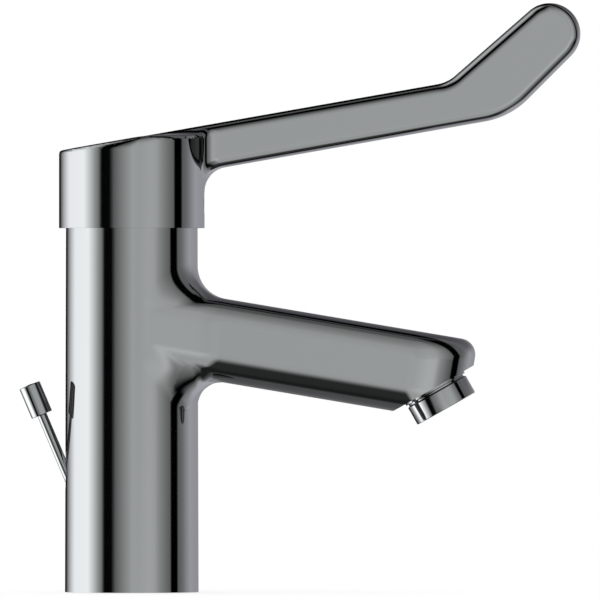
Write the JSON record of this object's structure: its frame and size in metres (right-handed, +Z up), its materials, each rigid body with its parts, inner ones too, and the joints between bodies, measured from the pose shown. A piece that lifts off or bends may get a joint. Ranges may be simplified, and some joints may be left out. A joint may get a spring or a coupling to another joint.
{
  "type": "single-lever basin tap",
  "caption": "Chromed single-lever basin tap: round column, sloping spout with aerator, long side lever with raised paddle end, and a lift rod for the waste behind.",
  "frame": {"origin": "centre of the foot, on the axis of the column, in the face that stands on the basin", "axes": "+Z up along the column, +X towards the spout and the closed lever, +Y across; the picture is seen from -Y"},
  "size_m": [0.2018, 0.0524, 0.212],
  "materials": {
    "chrome": "polished",
    "rubber": "matt",
    "cartridge_shell": "moulded",
    "cartridge_parts": "moulded",
    "ceramic": "lapped ceramic",
    "brass": "machined",
    "steel": "bright",
    "plug": "gloss",
    "insert": "moulded"
  },
  "bodies": {
    "tap_body": {"body": "chrome", "base_seal": "rubber", "cartridge_base": "cartridge_parts", "port_seals": "rubber", "disc_seals": "rubber", "cartridge_housing": "cartridge_shell", "fixed_disc": "ceramic", "limit_ring": "cartridge_parts", "cartridge_nut": "brass", "cover_ring": "chrome", "aerator_housing": "chrome", "aerator_washer": "rubber", "aerator_insert": "insert", "aerator_screen": "insert", "rod_guide": "insert"},
    "turning_part": {"rotor": "cartridge_parts", "spindle_pin": "steel"},
    "lever_part": {"lever": "chrome", "spindle": "brass", "set_screw": "steel", "index_plug": "plug"},
    "disc_part": {"moving_disc": "ceramic", "disc_carrier": "cartridge_parts"},
    "rod_part": {"lift_rod": "chrome", "rod_knob": "chrome"}
  },
  "joints": [
    {"name": "lever_turn", "type": "hinge", "parent": "tap_body", "child": "turning_part", "pos_m": [0, 0, 0.1265], "axis": [0, 0, 1], "range_deg": [-50, 50]},
    {"name": "lever_lift", "type": "hinge", "parent": "turning_part", "child": "lever_part", "pos_m": [0, 0, 0.1265], "axis": [0, -1, 0], "range_deg": [0, 25]},
    {"name": "disc_slide", "type": "slide", "parent": "turning_part", "child": "disc_part", "axis": [1, 0, 0], "range_m": [0, 0.0052]},
    {"name": "rod_lift", "type": "slide", "parent": "tap_body", "child": "rod_part", "axis": [-0.3899, 0, 0.9208], "range_m": [0, 0.022]}
  ],
  "couplings": [
    {"joint": "disc_slide", "follows": "lever_lift", "m_per_rad": 0.011905}
  ]
}
